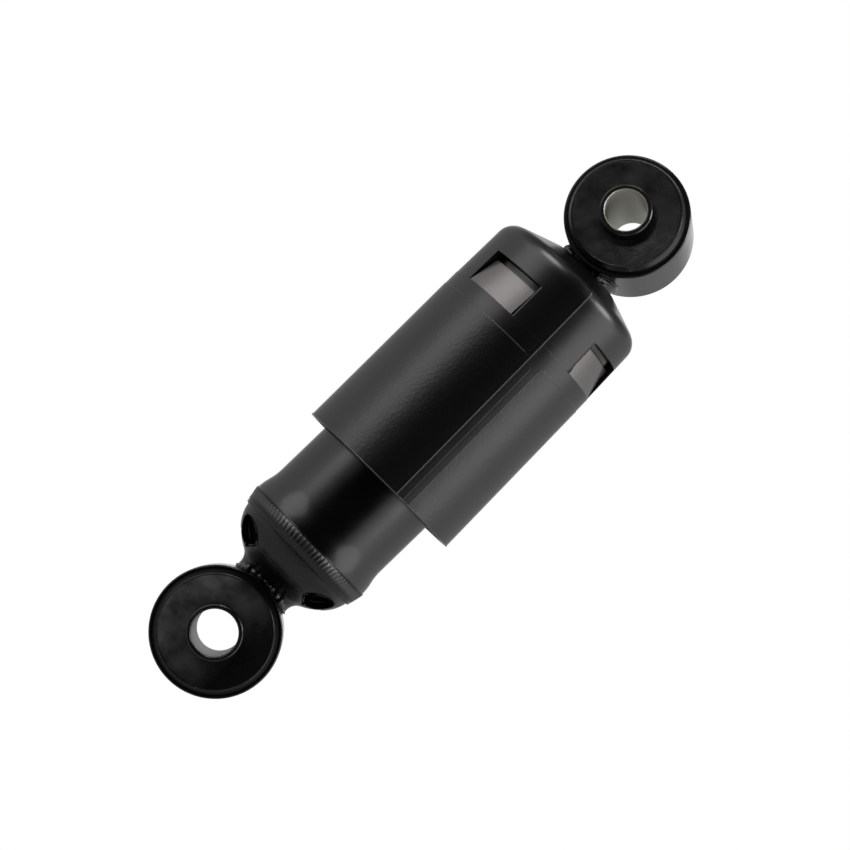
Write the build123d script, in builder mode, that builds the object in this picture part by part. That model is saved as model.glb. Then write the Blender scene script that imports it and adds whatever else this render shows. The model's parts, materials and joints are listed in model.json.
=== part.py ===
from build123d import *
import os
from math import degrees, radians, sin

# Twin-tube hydraulic shock absorber for a lorry cab, with a rubber-bushed eye at each end
# and a plastic dust cover that snaps over a plate on the rod.
# Lengths are in millimetres. The shock axis is Z, the origin is the centre of the lower eye
# and the lower bore runs along Y. The travels start from the length that the photograph shows.

os.makedirs("parts", exist_ok=True)

# Travel, and how the rod end is turned and stands to one side
compress_travel = 26.0
extend_travel = 22.0
upper_eye_turn = -12.8
upper_eye_shift = -1.9

# Clearances
press_gap = 0.02
running_gap = 0.05
seat_gap = 0.3

# Eyes: rolled steel ring, moulded rubber and steel sleeve
lower_ring_od = 56.6
upper_ring_od = 54.2
ring_wall = 3.5
ring_length = 35.0
sleeve_length = 56.0
lower_sleeve_od = 24.0
lower_bore = 20.0
upper_sleeve_od = 22.6
upper_bore = 18.0
lip_length = 4.9
lip_drop = 1.7
lip_step = 0.5
face_inset = 3.7
face_round = 0.8
face_dish = 1.3
edge_break = 0.5

# Reservoir tube with its belled lower end and rolled top
tube_od = 60.9
tube_wall = 2.5
bell_flare = 1.65
bell_bottom = 55.0
bell_length = 12.3
roll_radius = 4.0
roll_lip = 5.5

# Forged foot
neck_od = 28.8
neck_top = 27.4
flare_rise = 5.2
flare_run = 3.2
crease_height = 37.7
crease_radius = 24.3
crease_step = 0.5
cone_top_height = 47.1
cone_top_radius = 30.0
cone_bulge = 1.2
band_step = 0.6
band_rise = 0.4
cup_depth = 8.5
cup_od = 46.0
spigot_length = 4.5
foot_web = 6.0
pocket_rim = 3.2
pocket_top_down = 3.5
pocket_end = 3.0
pocket_tip_in = 7.0
pocket_tip_down = 3.4
pocket_heel_in = 9.3
pocket_bulge = 1.6
pocket_belly = 0.9
pocket_draft = 4.0
pocket_round = 0.9
weld_round = 2.4

# Pressure tube, base valve and rod guide
pressure_bore = 35.0
pressure_wall = 1.5
valve_foot_height = 3.0
valve_foot_reach = 5.0
valve_foot_width = 8.0
valve_feet = 4
valve_flange = 2.5
valve_spigot = 4.5
check_thickness = 0.7
check_lift = 0.8
check_slack = 0.2
valve_pin_d = 6.0
valve_pin_head = 1.2
valve_pin_head_od = 12.0
check_hub_wall = 2.0
base_clearance = 1.0
spring_thickness = 0.25
spring_fingers = 6
guide_flange = 5.0
guide_spigot = 5.0
guide_bush_wall = 1.5
guide_bevel = 0.8
seal_flange = 2.0
seal_hub = 5.5
seal_hub_od = 24.0
seal_taper = 8.0
washer_thickness = 2.5

# Piston rod and piston
rod_d = 13.0
rod_stub_d = 9.0
stub_bevel = 0.6
rebound_stop_height = 6.0
rebound_stop_od = 22.0
rebound_stop_bevel = 1.0
stop_washer = 1.5
piston_height = 12.0
piston_play = 0.3
band_height = 8.0
band_wall = 1.5
band_slit = 1.0
disc_thickness = 0.6
disc_count = 3
disc_od = 26.0
disc_shrink = 5.0
nut_height = 6.5
nut_flats = 15.0
nut_bevel_angle = 30.0
port_d = 3.2
port_circle = 20.0
port_count = 6

# Head of the rod: forged plate, bump stop
plate_od = 69.8
plate_rim = 3.4
plate_cone_height = 11.0
plate_cone_od = 62.0
plate_hollow = 6.6
plate_hollow_slope = 3.0
boss_od = 26.8
boss_foot_od = 34.0
boss_step = 2.0
rod_socket = 12.0
bump_od = 27.0
bump_height = 10.5
bump_waist = 3.0
bump_bevel = 1.0
bump_clearance = 0.7

# Dust cover
cover_skirt = 87.4
cover_bottom_od = 80.5
cover_line_od = 78.7
cover_head = 30.8
cover_top_od = 76.8
cover_wall = 2.2
shoulder_round = 8.0
shoulder_rise = 7.8
cover_hole_od = 34.4
cover_eye_gap = 0.6
cover_lean = -1.4
cover_shift = -0.6
edge_chamfer = 0.9
panel_raise = 0.15
line_step = 0.15
panel_stop = 7.3
seam_angle = 12.8
seam_strip = 10.2
seam_raise = 0.22
seam_width = 0.5
window_height = 17.0
window_angle = 44.0
window_offset = 48.1
tongue_slit = 0.8
tongue_end_gap = 3.0
tongue_lean = 3.4
tongue_wall = 2.0
rib_count = 8
rib_width = 3.0
rib_height = 5.0
rib_reach = 2.6

# Worked-out radii and heights
ring_half = ring_length / 2
rubber_half = ring_half + lip_length
tube_r = tube_od / 2
bell_r = tube_r + bell_flare
neck_r = neck_od / 2
rod_r = rod_d / 2
stub_r = rod_stub_d / 2
pressure_r = pressure_bore / 2
pressure_outer_r = pressure_r + pressure_wall
bore_of_tube_r = tube_r - tube_wall

valve_seat = bell_bottom + spigot_length - cup_depth
valve_flange_top = valve_seat + valve_foot_height + valve_flange
valve_top = valve_flange_top + valve_spigot
check_room = check_thickness + check_lift + check_slack

nut_bottom = valve_top + check_room + valve_pin_head + base_clearance + compress_travel
nut_top = nut_bottom + nut_height
piston_bottom = nut_top + disc_count * disc_thickness
piston_top = piston_bottom + piston_height
rod_shoulder = piston_top + check_room + stop_washer
rebound_top = rod_shoulder + rebound_stop_height

guide_bottom = rebound_top + extend_travel
guide_shoulder = guide_bottom + guide_spigot
seal_seat = guide_shoulder + guide_flange
washer_top = seal_seat + seal_flange + washer_thickness
tube_top = washer_top + tube_wall

plate_seat = tube_top + bump_clearance + compress_travel + bump_height
socket_top = plate_seat + rod_socket
lean_at_rim = plate_od / 2 * sin(radians(abs(cover_lean)))
tongue_top = plate_seat - seat_gap - lean_at_rim
window_top = tongue_top + tongue_end_gap
window_bottom = window_top - window_height
rib_bottom = plate_seat + plate_rim + seat_gap + lean_at_rim
cover_line_height = window_bottom
cover_bottom = cover_line_height - cover_skirt
panel_top = cover_line_height - panel_stop
shoulder_corner = cover_line_height + cover_head
cover_top_height = shoulder_corner + shoulder_rise
eye_to_eye = cover_top_height + cover_eye_gap + upper_ring_od / 2


def eye_ring(ring_od):
    """Steel ring cut from tube, with both end edges broken."""
    with BuildPart() as ring:
        with BuildSketch(Plane.XZ):
            Circle(ring_od / 2)
            Circle(ring_od / 2 - ring_wall, mode=Mode.SUBTRACT)
        extrude(amount=ring_half, both=True)
        chamfer(ring.edges().filter_by(GeomType.CIRCLE), edge_break)
    return ring.part


def eye_rubber(ring_od, sleeve_od):
    """Rubber pressed into the ring. A lip laps each end of the ring, and tapers to a dished face."""
    inner = sleeve_od / 2 + running_gap
    outer = ring_od / 2 - ring_wall - press_gap
    lip = ring_od / 2 - lip_drop
    with BuildPart() as rubber:
        with BuildSketch(Plane.XY) as section:
            with BuildLine():
                Polyline(
                    (inner, 0),
                    (inner, rubber_half - face_dish),
                    (ring_od / 2 - face_inset, rubber_half),
                    (lip, ring_half + lip_step),
                    (lip, ring_half + press_gap),
                    (outer, ring_half + press_gap),
                    (outer, 0),
                    close=True,
                )
            make_face()
            fillet(section.vertices().group_by(Axis.Y)[-1], face_round)
            mirror(about=Plane.XZ)
        revolve(axis=Axis.Y)
    return rubber.part


def eye_sleeve(sleeve_od, bore):
    """Steel sleeve that the mounting bolt clamps. It stands proud of the rubber."""
    with BuildPart() as sleeve:
        with BuildSketch(Plane.XZ):
            Circle(sleeve_od / 2)
            Circle(bore / 2, mode=Mode.SUBTRACT)
        extrude(amount=sleeve_length / 2, both=True)
        chamfer(sleeve.edges().filter_by(GeomType.CIRCLE), edge_break)
    return sleeve.part


def ring_space(ring_od):
    """The room that an eye ring takes out of the neck or boss welded to it."""
    with BuildPart() as space:
        with BuildSketch(Plane.XZ):
            Circle(ring_od / 2 + press_gap)
        extrude(amount=ring_od, both=True)
    return space.part


def eye_weld(neck_radius, ring_radius, place):
    """Concave weld round a neck on the shock axis, in the frame of the eye ring that it lands on."""
    neck_spot = (place.inverse() * Location((0, 0, place.position.Z))).position
    with BuildPart() as bead:
        with BuildSketch(Plane.XY):
            with Locations((neck_spot.X, neck_spot.Y)):
                Circle(neck_radius)
        extrude(amount=2 * ring_radius)
        with BuildSketch(Plane.XZ):
            Circle(ring_radius)
        extrude(amount=ring_half, both=True)
        joint_line = bead.edges().filter_by(lambda edge: edge.geom_type not in (GeomType.CIRCLE, GeomType.LINE))
        fillet(joint_line, weld_round)
        with BuildSketch(Plane.XY):
            with Locations((neck_spot.X, neck_spot.Y)):
                Circle(neck_radius + press_gap)
        extrude(amount=2 * ring_radius, mode=Mode.SUBTRACT)
        add(ring_space(2 * ring_radius), mode=Mode.SUBTRACT)
    return bead.part


def star_spring(seat, hub_radius):
    """Thin sprung ring that holds a check plate down, sloping from its hub to its outer edge."""
    outer = port_circle / 2 + port_d / 2
    inner = hub_radius + press_gap
    top = seat + check_room - spring_thickness
    low = seat + check_thickness
    with BuildPart() as spring:
        with BuildSketch(Plane.XZ):
            with BuildLine():
                Polyline(
                    (inner, top),
                    (inner, top + spring_thickness),
                    (outer, low + spring_thickness),
                    (outer, low),
                    close=True,
                )
            make_face()
        revolve(axis=Axis.Z)
        with BuildSketch(Plane.XY.offset(seat)):
            with PolarLocations(outer, spring_fingers):
                Rectangle(outer - inner, port_d, mode=Mode.ADD)
        extrude(amount=2 * check_room, mode=Mode.SUBTRACT)
    return spring.part


lower_place = Location((0, 0, 0))
upper_place = Location((upper_eye_shift, 0, eye_to_eye), (0, 0, upper_eye_turn))
rod_side_place = upper_place * Location((0, 0, 0), (180, 0, 0))

# Eyes: the same three pieces at each end, the upper set turned with the rod
for end, place, ring_od, sleeve_od, bore in (
    ("lower", lower_place, lower_ring_od, lower_sleeve_od, lower_bore),
    ("upper", upper_place, upper_ring_od, upper_sleeve_od, upper_bore),
):
    for kind, shape in (
        ("eye_ring", eye_ring(ring_od)),
        ("bush_rubber", eye_rubber(ring_od, sleeve_od)),
        ("bush_sleeve", eye_sleeve(sleeve_od, bore)),
    ):
        with BuildPart() as eye_piece:
            with Locations(place):
                add(shape)
        eye_piece.part.label = f"{end}_{kind}"
        export_step(eye_piece.part, f"parts/{end}_{kind}.step")

# Foot: drop-forged steel, turned where it enters the tube. The neck flares into a dome, with a
# crease where the forging's face begins, and a pocket each side of that face, front and back
pocket_tip = (crease_radius - pocket_tip_in, crease_height - pocket_tip_down)
pocket_heel = (crease_radius - pocket_heel_in, crease_height)
pocket_corner = (cone_top_radius - pocket_rim, cone_top_height - pocket_top_down)
pocket_shoulder = (pocket_corner[0] - pocket_end, pocket_corner[1])
with BuildPart() as pocket:
    with BuildSketch(Plane.XZ.offset(foot_web / 2)) as pocket_floor:
        with BuildLine():
            Line(pocket_tip, pocket_heel)
            SagittaArc(pocket_heel, pocket_shoulder, pocket_belly)
            Line(pocket_shoulder, pocket_corner)
            SagittaArc(pocket_corner, pocket_tip, pocket_bulge)
        make_face()
        fillet(pocket_floor.vertices(), pocket_round)
    extrude(amount=bell_r, taper=-pocket_draft)
    mirror(about=Plane.YZ)
    mirror(about=Plane.XZ)

with BuildPart() as foot:
    with BuildSketch(Plane.XZ):
        with BuildLine():
            flare = TangentArc(
                (neck_r, neck_top),
                (neck_r + flare_run, neck_top + flare_rise),
                tangent=(0, 1),
            )
            dome = TangentArc(flare @ 1, (crease_radius, crease_height), tangent=flare % 1)
            cone = ThreePointArc(
                (crease_radius + crease_step, crease_height),
                ((crease_radius + cone_top_radius) / 2 + cone_bulge, (crease_height + cone_top_height) / 2),
                (cone_top_radius, cone_top_height),
            )
            band = TangentArc(
                (bell_r, bell_bottom),
                (cone_top_radius + band_step, cone_top_height + band_rise),
                tangent=(0, -1),
            )
            Polyline(dome @ 1, cone @ 0)
            Polyline(cone @ 1, band @ 1)
            Polyline(
                band @ 0,
                (bore_of_tube_r - press_gap, bell_bottom),
                (bore_of_tube_r - press_gap, bell_bottom + spigot_length),
                (cup_od / 2, bell_bottom + spigot_length),
                (cup_od / 2, valve_seat),
                (0, valve_seat),
                (0, 0),
                (neck_r, 0),
                flare @ 0,
            )
        make_face()
    revolve(axis=Axis.Z)
    add(pocket.part, mode=Mode.SUBTRACT)
    add(ring_space(lower_ring_od), mode=Mode.SUBTRACT)
foot.part.label = "foot"
export_step(foot.part, "parts/foot.step")

with BuildPart() as lower_weld:
    add(eye_weld(neck_r, lower_ring_od / 2, lower_place))
    add(foot.part, mode=Mode.SUBTRACT)
lower_weld.part.label = "lower_weld"
export_step(lower_weld.part, "parts/lower_weld.step")

# Reservoir tube: drawn steel, belled over the foot and rolled in over the seal washer
bell_waist = ((bell_r + tube_r) / 2, bell_bottom + bell_length / 2)
roll_start = tube_top - roll_radius
with BuildPart() as reservoir_tube:
    with BuildSketch(Plane.XZ):
        with BuildLine():
            bell_out = TangentArc((bell_r, bell_bottom), bell_waist, tangent=(0, 1))
            wall_out = TangentArc(bell_out @ 1, (tube_r, bell_bottom + bell_length), tangent=bell_out % 1)
            Line(wall_out @ 1, (tube_r, roll_start))
            TangentArc((tube_r, roll_start), (tube_r - roll_radius, tube_top), tangent=(0, 1))
            Polyline(
                (tube_r - roll_radius, tube_top),
                (tube_r - tube_wall - roll_lip, tube_top),
                (tube_r - tube_wall - roll_lip, washer_top),
                (tube_r - roll_radius, washer_top),
            )
            TangentArc((bore_of_tube_r, roll_start), (tube_r - roll_radius, washer_top), tangent=(0, 1))
            Line((bore_of_tube_r, roll_start), (bore_of_tube_r, bell_bottom + bell_length))
            bell_in = TangentArc(
                (bell_r - tube_wall, bell_bottom),
                (bell_waist[0] - tube_wall, bell_waist[1]),
                tangent=(0, 1),
            )
            TangentArc(bell_in @ 1, (bore_of_tube_r, bell_bottom + bell_length), tangent=bell_in % 1)
            Line(bell_in @ 0, bell_out @ 0)
        make_face()
    revolve(axis=Axis.Z)
reservoir_tube.part.label = "reservoir_tube"
export_step(reservoir_tube.part, "parts/reservoir_tube.step")

# Base valve: a ported body on four feet, riveted with its compression discs below
pin_r = valve_pin_d / 2
check_hub_r = pin_r + check_hub_wall
with BuildPart() as base_valve_body:
    with BuildSketch(Plane.XY.offset(valve_seat + valve_foot_height)):
        Circle(pressure_outer_r)
    extrude(amount=valve_flange)
    with BuildSketch(Plane.XY.offset(valve_flange_top)):
        Circle(pressure_r - press_gap)
    extrude(amount=valve_spigot)
    with BuildSketch(Plane.XY.offset(valve_top)):
        Circle(check_hub_r)
    extrude(amount=check_room)
    with BuildSketch(Plane.XY.offset(valve_seat)):
        with PolarLocations(pressure_outer_r - valve_foot_reach / 2, valve_feet):
            Rectangle(valve_foot_reach, valve_foot_width)
        Circle(pressure_outer_r, mode=Mode.INTERSECT)
    extrude(amount=valve_foot_height)
    with BuildSketch(Plane.XY.offset(valve_seat)):
        Circle(pin_r + press_gap)
        with PolarLocations(port_circle / 2, port_count):
            Circle(port_d / 2)
    extrude(amount=valve_top + 2 * check_room - valve_seat, mode=Mode.SUBTRACT)
base_valve_body.part.label = "base_valve_body"
export_step(base_valve_body.part, "parts/base_valve_body.step")

discs_top = valve_seat + valve_foot_height
with BuildPart() as base_valve_discs:
    with BuildSketch(Plane.XY.offset(discs_top - disc_thickness)):
        Circle(port_circle / 2 + port_d)
        Circle(pin_r + press_gap, mode=Mode.SUBTRACT)
    extrude(amount=disc_thickness)
    with BuildSketch(Plane.XY.offset(discs_top - 2 * disc_thickness)):
        Circle(port_circle / 2)
        Circle(pin_r + press_gap, mode=Mode.SUBTRACT)
    extrude(amount=disc_thickness)
base_valve_discs.part.label = "base_valve_discs"
export_step(base_valve_discs.part, "parts/base_valve_discs.step")

with BuildPart() as base_valve_pin:
    with BuildSketch(Plane.XY.offset(discs_top - 2 * disc_thickness - valve_pin_head)):
        Circle(valve_pin_head_od / 2)
    extrude(amount=valve_pin_head)
    with BuildSketch(Plane.XY.offset(discs_top - 2 * disc_thickness)):
        Circle(pin_r)
    extrude(amount=valve_top + check_room - discs_top + 2 * disc_thickness)
    with BuildSketch(Plane.XY.offset(valve_top + check_room)):
        Circle(port_circle / 2)
    extrude(amount=valve_pin_head)
base_valve_pin.part.label = "base_valve_pin"
export_step(base_valve_pin.part, "parts/base_valve_pin.step")

with BuildPart() as base_check_plate:
    with BuildSketch(Plane.XY.offset(valve_top)):
        Circle(port_circle / 2 + port_d)
        Circle(check_hub_r + running_gap, mode=Mode.SUBTRACT)
    extrude(amount=check_thickness)
base_check_plate.part.label = "base_check_plate"
export_step(base_check_plate.part, "parts/base_check_plate.step")

with BuildPart() as base_check_spring:
    add(star_spring(valve_top, check_hub_r))
base_check_spring.part.label = "base_check_spring"
export_step(base_check_spring.part, "parts/base_check_spring.step")

# Pressure tube: honed steel, held between the base valve and the rod guide
with BuildPart() as pressure_tube:
    with BuildSketch(Plane.XY.offset(valve_flange_top)):
        Circle(pressure_outer_r)
        Circle(pressure_r, mode=Mode.SUBTRACT)
    extrude(amount=guide_shoulder - valve_flange_top)
pressure_tube.part.label = "pressure_tube"
export_step(pressure_tube.part, "parts/pressure_tube.step")

# Rod guide: sintered iron with a plain bush, under the oil seal and its washer
with BuildPart() as rod_guide:
    with BuildSketch(Plane.XY.offset(guide_bottom)):
        Circle(pressure_r - press_gap)
    extrude(amount=guide_spigot)
    with BuildSketch(Plane.XY.offset(guide_shoulder)):
        Circle(bore_of_tube_r - press_gap)
    extrude(amount=guide_flange)
    with BuildSketch(Plane.XY.offset(guide_bottom)):
        Circle(rod_r + running_gap + guide_bush_wall + press_gap)
    extrude(amount=guide_spigot + guide_flange, mode=Mode.SUBTRACT)
    guide_foot = rod_guide.edges().group_by(Axis.Z)[0].sort_by(SortBy.RADIUS)[-1]
    chamfer(guide_foot, guide_bevel)
rod_guide.part.label = "rod_guide"
export_step(rod_guide.part, "parts/rod_guide.step")

with BuildPart() as guide_bush:
    with BuildSketch(Plane.XY.offset(guide_bottom)):
        Circle(rod_r + running_gap + guide_bush_wall)
        Circle(rod_r + running_gap, mode=Mode.SUBTRACT)
    extrude(amount=guide_spigot + guide_flange)
guide_bush.part.label = "guide_bush"
export_step(guide_bush.part, "parts/guide_bush.step")

with BuildPart() as rod_seal:
    with BuildSketch(Plane.XY.offset(seal_seat)):
        Circle(bore_of_tube_r - press_gap)
    extrude(amount=seal_flange)
    with BuildSketch(Plane.XY.offset(seal_seat)):
        Circle(seal_hub_od / 2)
    extrude(amount=seal_hub, taper=seal_taper)
    with BuildSketch(Plane.XY.offset(seal_seat)):
        Circle(rod_r + running_gap)
    extrude(amount=seal_hub, mode=Mode.SUBTRACT)
rod_seal.part.label = "rod_seal"
export_step(rod_seal.part, "parts/rod_seal.step")

with BuildPart() as seal_washer:
    with BuildSketch(Plane.XY.offset(seal_seat + seal_flange)):
        Circle(bore_of_tube_r - press_gap)
        Circle(seal_hub_od / 2 + press_gap, mode=Mode.SUBTRACT)
    extrude(amount=washer_thickness)
    washer_shoulder = seal_washer.edges().group_by(Axis.Z)[-1].sort_by(SortBy.RADIUS)[-1]
    fillet(washer_shoulder, roll_radius - tube_wall)
seal_washer.part.label = "seal_washer"
export_step(seal_washer.part, "parts/seal_washer.step")

# Piston rod: hard-chromed, with a stub for the piston and its top in the head plate
with BuildPart() as piston_rod:
    with BuildSketch(Plane.XZ):
        with BuildLine():
            Polyline(
                (0, nut_bottom),
                (stub_r - stub_bevel, nut_bottom),
                (stub_r, nut_bottom + stub_bevel),
                (stub_r, rod_shoulder),
                (rod_r, rod_shoulder),
                (rod_r, socket_top),
                (0, socket_top),
                close=True,
            )
        make_face()
    revolve(axis=Axis.Z)
piston_rod.part.label = "piston_rod"
export_step(piston_rod.part, "parts/piston_rod.step")

with BuildPart() as rebound_stop:
    with BuildSketch(Plane.XY.offset(rod_shoulder)):
        Circle(rebound_stop_od / 2)
        Circle(rod_r + press_gap, mode=Mode.SUBTRACT)
    extrude(amount=rebound_stop_height)
    stop_edges = rebound_stop.edges().filter_by(GeomType.CIRCLE).sort_by(SortBy.RADIUS)[-2:]
    chamfer(stop_edges, rebound_stop_bevel)
rebound_stop.part.label = "rebound_stop"
export_step(rebound_stop.part, "parts/rebound_stop.step")

with BuildPart() as check_stop_washer:
    with BuildSketch(Plane.XY.offset(rod_shoulder - stop_washer)):
        Circle(port_circle / 2)
        Circle(stub_r + press_gap, mode=Mode.SUBTRACT)
    extrude(amount=stop_washer)
check_stop_washer.part.label = "check_stop_washer"
export_step(check_stop_washer.part, "parts/check_stop_washer.step")

piston_hub_r = stub_r + check_hub_wall
with BuildPart() as piston_check_plate:
    with BuildSketch(Plane.XY.offset(piston_top)):
        Circle(port_circle / 2 + port_d)
        Circle(piston_hub_r + running_gap, mode=Mode.SUBTRACT)
    extrude(amount=check_thickness)
piston_check_plate.part.label = "piston_check_plate"
export_step(piston_check_plate.part, "parts/piston_check_plate.step")

with BuildPart() as piston_check_spring:
    add(star_spring(piston_top, piston_hub_r))
piston_check_spring.part.label = "piston_check_spring"
export_step(piston_check_spring.part, "parts/piston_check_spring.step")

piston_r = pressure_r - piston_play
groove_r = pressure_r - running_gap - band_wall - running_gap
band_bottom = piston_bottom + (piston_height - band_height) / 2
with BuildPart() as piston:
    with BuildSketch(Plane.XY.offset(piston_bottom)):
        Circle(piston_r)
    extrude(amount=piston_height)
    with BuildSketch(Plane.XY.offset(band_bottom)):
        Circle(piston_r)
        Circle(groove_r, mode=Mode.SUBTRACT)
    extrude(amount=band_height, mode=Mode.SUBTRACT)
    with BuildSketch(Plane.XY.offset(piston_top)):
        Circle(piston_hub_r)
    extrude(amount=check_room)
    with BuildSketch(Plane.XY.offset(piston_bottom)):
        Circle(stub_r + press_gap)
        with PolarLocations(port_circle / 2, port_count):
            Circle(port_d / 2)
    extrude(amount=piston_height + check_room, mode=Mode.SUBTRACT)
piston.part.label = "piston"
export_step(piston.part, "parts/piston.step")

# Piston band: a slit PTFE ring, in which the piston can turn
with BuildPart() as piston_band:
    with BuildSketch(Plane.XY.offset(band_bottom + running_gap)):
        Circle(groove_r + running_gap + band_wall)
        Circle(groove_r + running_gap, mode=Mode.SUBTRACT)
        with Locations((pressure_r, 0)):
            Rectangle(4 * band_wall, band_slit, mode=Mode.SUBTRACT)
    extrude(amount=band_height - 2 * running_gap)
piston_band.part.label = "piston_band"
export_step(piston_band.part, "parts/piston_band.step")

with BuildPart() as piston_discs:
    for level in range(disc_count):
        with BuildSketch(Plane.XY.offset(piston_bottom - (level + 1) * disc_thickness)):
            Circle((disc_od - level * disc_shrink) / 2)
            Circle(stub_r + press_gap, mode=Mode.SUBTRACT)
        extrude(amount=disc_thickness)
piston_discs.part.label = "piston_discs"
export_step(piston_discs.part, "parts/piston_discs.step")

with BuildPart() as piston_nut:
    with BuildSketch(Plane.XY.offset(nut_bottom)):
        RegularPolygon(nut_flats / 2, 6, major_radius=False)
        Circle(stub_r + press_gap, mode=Mode.SUBTRACT)
    extrude(amount=nut_height)
    with BuildSketch(Plane.XY.offset(nut_bottom)):
        Circle(nut_flats / 2)
    extrude(amount=nut_height, taper=-nut_bevel_angle, mode=Mode.INTERSECT)
piston_nut.part.label = "piston_nut"
export_step(piston_nut.part, "parts/piston_nut.step")

# Head plate: forged steel, with the rim that the cover's tongues hold and the boss for the eye
plate_r = plate_od / 2
plate_cone_r = plate_cone_od / 2
boss_r = boss_od / 2
boss_foot_r = boss_foot_od / 2
cone_top = plate_seat + plate_rim + plate_cone_height
with BuildPart() as head_plate:
    with BuildSketch(Plane.XZ):
        with BuildLine():
            Polyline(
                (0, plate_seat),
                (boss_foot_r, plate_seat),
                (boss_foot_r + plate_hollow_slope, plate_seat + plate_hollow),
                (plate_cone_r - plate_hollow_slope, plate_seat),
                (plate_r, plate_seat),
                (plate_r, plate_seat + plate_rim),
                (plate_cone_r, plate_seat + plate_rim),
                (boss_foot_r, cone_top),
                (boss_r, cone_top + boss_step),
                (boss_r, eye_to_eye),
                (0, eye_to_eye),
                close=True,
            )
        make_face()
    revolve(axis=Axis.Z)
    with BuildSketch(Plane.XY.offset(plate_seat)):
        Circle(rod_r + press_gap)
    extrude(amount=rod_socket + press_gap, mode=Mode.SUBTRACT)
    with Locations(upper_place):
        add(ring_space(upper_ring_od), mode=Mode.SUBTRACT)
head_plate.part.label = "head_plate"
export_step(head_plate.part, "parts/head_plate.step")

with BuildPart() as upper_weld:
    with Locations(rod_side_place):
        add(eye_weld(boss_r, upper_ring_od / 2, rod_side_place))
upper_weld.part.label = "upper_weld"
export_step(upper_weld.part, "parts/upper_weld.step")

# Bump stop: rubber buffer stretched over the rod under the head plate
bump_r = bump_od / 2
with BuildPart() as bump_stop:
    with BuildSketch(Plane.XZ):
        with BuildLine():
            Polyline(
                (rod_r + press_gap, plate_seat),
                (bump_r, plate_seat),
                (bump_r - bump_waist, plate_seat - bump_height / 2),
                (bump_r - bump_bevel, plate_seat - bump_height + bump_bevel),
                (bump_r - 2 * bump_bevel, plate_seat - bump_height),
                (rod_r + press_gap, plate_seat - bump_height),
                close=True,
            )
        make_face()
    revolve(axis=Axis.Z)
bump_stop.part.label = "bump_stop"
export_step(bump_stop.part, "parts/bump_stop.step")

# Dust cover: one polypropylene moulding. Two grained panels stand proud of the wall, and four
# windows hold the tongues that lean in and catch under the rim of the head plate
line_r = cover_line_od / 2
bottom_r = cover_bottom_od / 2
top_r = cover_top_od / 2
hole_r = cover_hole_od / 2
draft = (bottom_r - line_r) / (cover_line_height - cover_bottom)


def wall_radius(height):
    """Outside radius of the tapered wall below the line."""
    return bottom_r - draft * (height - cover_bottom)


def wall_section(grown=0.0):
    """Section of the cover's wall, from its lower edge over the shoulder to the hole, or that section grown."""
    with BuildSketch(Plane.XZ) as section:
        with BuildLine():
            Polyline(
                (bottom_r - edge_chamfer, cover_bottom),
                (bottom_r, cover_bottom),
                (line_r, cover_line_height),
                (line_r - line_step, cover_line_height),
                (top_r, shoulder_corner),
                (hole_r, cover_top_height),
                (hole_r, cover_top_height - cover_wall),
                (top_r - cover_wall, shoulder_corner - cover_wall),
                (line_r - cover_wall, cover_line_height),
                (bottom_r - cover_wall, cover_bottom + edge_chamfer),
                close=True,
            )
        make_face()
        fillet(section.vertices().sort_by_distance((top_r, shoulder_corner, 0))[0], shoulder_round)
        corner_inside = (top_r - cover_wall, shoulder_corner - cover_wall, 0)
        fillet(section.vertices().sort_by_distance(corner_inside)[0], shoulder_round - cover_wall)
        if grown:
            offset(amount=grown)
    return section.sketch


seams = [seam_angle - 90, seam_angle + 90]
window_centres = [seam + side * window_offset for seam in seams for side in (-1, 1)]
slit_angle = degrees(tongue_slit / line_r)
tongue_angle = window_angle - 2 * slit_angle
seam_sweep = degrees(seam_width / line_r)

with BuildPart() as tongue:
    with BuildSketch(Plane.XZ):
        with BuildLine():
            Polyline(
                (line_r - panel_raise, window_bottom - edge_chamfer),
                (line_r - panel_raise, window_bottom),
                (line_r - tongue_lean, tongue_top),
                (line_r - tongue_lean - tongue_wall, tongue_top),
                (line_r - cover_wall, window_bottom),
                (line_r - cover_wall, window_bottom - edge_chamfer),
                close=True,
            )
        make_face()
    revolve(axis=Axis.Z, revolution_arc=tongue_angle)

with BuildPart() as grained_panel:
    with BuildSketch(Plane.XZ):
        with BuildLine():
            Polyline(
                (wall_radius(cover_bottom) - cover_wall / 2, cover_bottom + edge_chamfer),
                (wall_radius(cover_bottom), cover_bottom),
                (wall_radius(cover_bottom) + panel_raise, cover_bottom + panel_raise),
                (wall_radius(panel_top) + panel_raise, panel_top - panel_raise),
                (wall_radius(panel_top), panel_top),
                (wall_radius(panel_top) - cover_wall / 2, panel_top),
                close=True,
            )
        make_face()
    revolve(axis=Axis.Z, revolution_arc=180 - seam_strip)

with BuildPart() as seam_line:
    add(wall_section(seam_raise))
    revolve(axis=Axis.Z, revolution_arc=seam_sweep)

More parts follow.
